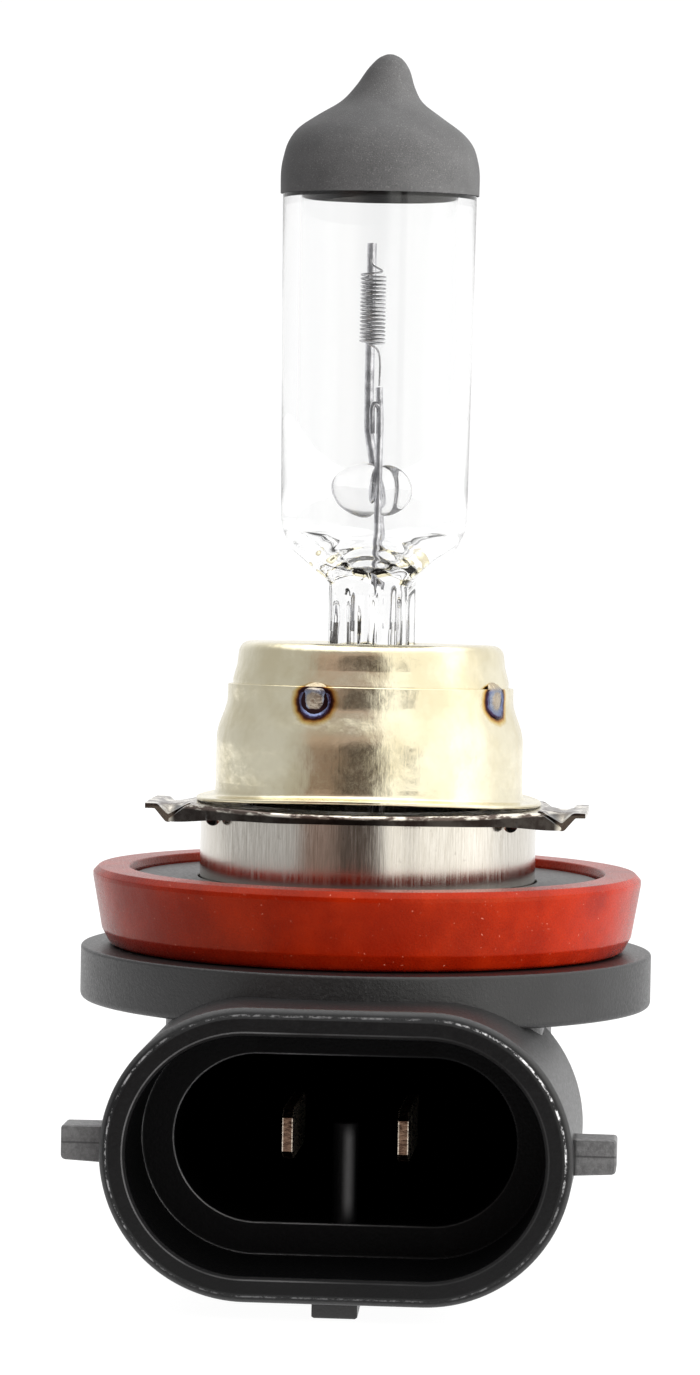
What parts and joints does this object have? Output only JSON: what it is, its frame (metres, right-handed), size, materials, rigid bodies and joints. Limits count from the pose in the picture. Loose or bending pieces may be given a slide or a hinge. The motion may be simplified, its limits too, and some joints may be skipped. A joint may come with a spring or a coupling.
{
  "type": "headlight bulb",
  "caption": "Halogen capsule headlight bulb with a blacked-out tip, metal burner holder and lug ring, removable red seal and right-angle connector base.",
  "frame": {"origin": "on the bulb's axis, in the plane that the folds of the lug ring rest on", "axes": "+Z along the bulb's axis towards the glass tip, -Y out of the connector mouth, +X towards the right lug"},
  "size_m": [0.0322, 0.0371, 0.0685],
  "materials": {
    "clear_glass": "clear polished quartz glass",
    "opaque_cap_paint": "matt charcoal anti-glare coating",
    "tungsten": "drawn tungsten wire",
    "molybdenum": "drawn molybdenum",
    "nickel_plate": "satin pale champagne nickel plate",
    "bright_steel": "brushed bright steel",
    "weld_metal": "melted metal with a heat tint",
    "red_silicone": "smooth brick-red silicone rubber",
    "black_plastic": "finely grained moulded glass-filled plastic",
    "tinned_brass": "tinned contact blade"
  },
  "bodies": {
    "bulb": {"glass_envelope": "clear_glass", "top_coating": "opaque_cap_paint", "filament_coil": "tungsten", "long_support_wire": "molybdenum", "short_support_wire": "molybdenum", "glass_bridge_bead": "clear_glass", "sealing_foil_front": "molybdenum", "sealing_foil_back": "molybdenum", "outer_lead_front": "molybdenum", "outer_lead_back": "molybdenum", "burner_clip": "bright_steel", "burner_holder_cup": "nickel_plate", "adjusting_sleeve": "nickel_plate", "laser_weld_1": "weld_metal", "laser_weld_2": "weld_metal", "laser_weld_3": "weld_metal", "laser_weld_4": "weld_metal", "lug_ring": "bright_steel", "cap_ring": "bright_steel", "base_housing": "black_plastic", "terminal_left": "tinned_brass", "terminal_right": "tinned_brass", "rear_cover": "black_plastic"},
    "seal": {"sealing_ring": "red_silicone"}
  },
  "joints": [
    {"name": "seal_slide", "type": "slide", "parent": "bulb", "child": "seal", "axis": [0, 0, 1], "range_m": [0, 0.052]}
  ]
}
